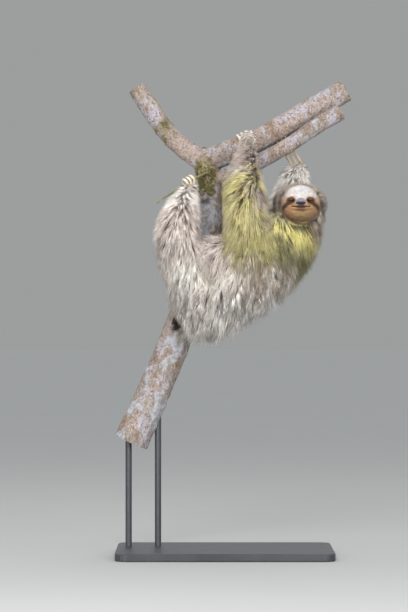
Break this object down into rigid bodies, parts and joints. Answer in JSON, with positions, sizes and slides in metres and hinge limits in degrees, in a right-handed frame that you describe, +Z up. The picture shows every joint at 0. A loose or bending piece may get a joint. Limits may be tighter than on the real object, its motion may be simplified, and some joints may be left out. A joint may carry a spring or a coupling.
{
  "type": "three-toed sloth model",
  "caption": "Life-size still model of a three-toed sloth hanging under a cut tree fork, held up by a flat display stand.",
  "frame": {"origin": "middle of the underside of the stand's base plate, on the floor", "axes": "+Z up; +X from the animal's rump towards its head, along the base plate's long side; -Y the side the face looks to"},
  "size_m": [0.4841, 0.3413, 0.9693],
  "materials": {
    "coat": "long coarse grey-brown fur with pale streaks and a green tint of algae",
    "face_coat": "short face fur, white brow, tan cheeks, dark eye stripes",
    "claw": "smooth cream horn",
    "nose_skin": "moist pebbled dark skin",
    "eye": "wet dark brown",
    "bark": "mottled grey-brown bark with white lichen and moss",
    "twig_bark": "smooth green-brown twig bark",
    "stand_paint": "satin dark grey paint"
  },
  "bodies": {
    "root": {"chest": "coat", "rump": "coat", "neck": "coat", "tail": "coat", "upper_arm_left": "coat", "forearm_left": "coat", "hand_left": "coat", "hand_left_claw_1": "claw", "hand_left_claw_2": "claw", "hand_left_claw_3": "claw", "thigh_left": "coat", "shin_left": "coat", "foot_left": "coat", "foot_left_claw_1": "claw", "foot_left_claw_2": "claw", "foot_left_claw_3": "claw", "upper_arm_right": "coat", "forearm_right": "coat", "hand_right": "coat", "hand_right_claw_1": "claw", "hand_right_claw_2": "claw", "hand_right_claw_3": "claw", "thigh_right": "coat", "shin_right": "coat", "foot_right": "coat", "foot_right_claw_1": "claw", "foot_right_claw_2": "claw", "foot_right_claw_3": "claw", "head": "face_coat", "nose": "nose_skin", "eye_left": "eye", "eye_right": "eye", "perch_stem": "bark", "perch_branch_left": "bark", "perch_branch_right": "bark", "perch_branch_lower": "bark", "perch_twig": "twig_bark", "stand_base": "stand_paint", "stand_rod_left": "stand_paint", "stand_rod_right": "stand_paint"}
  },
  "joints": []
}
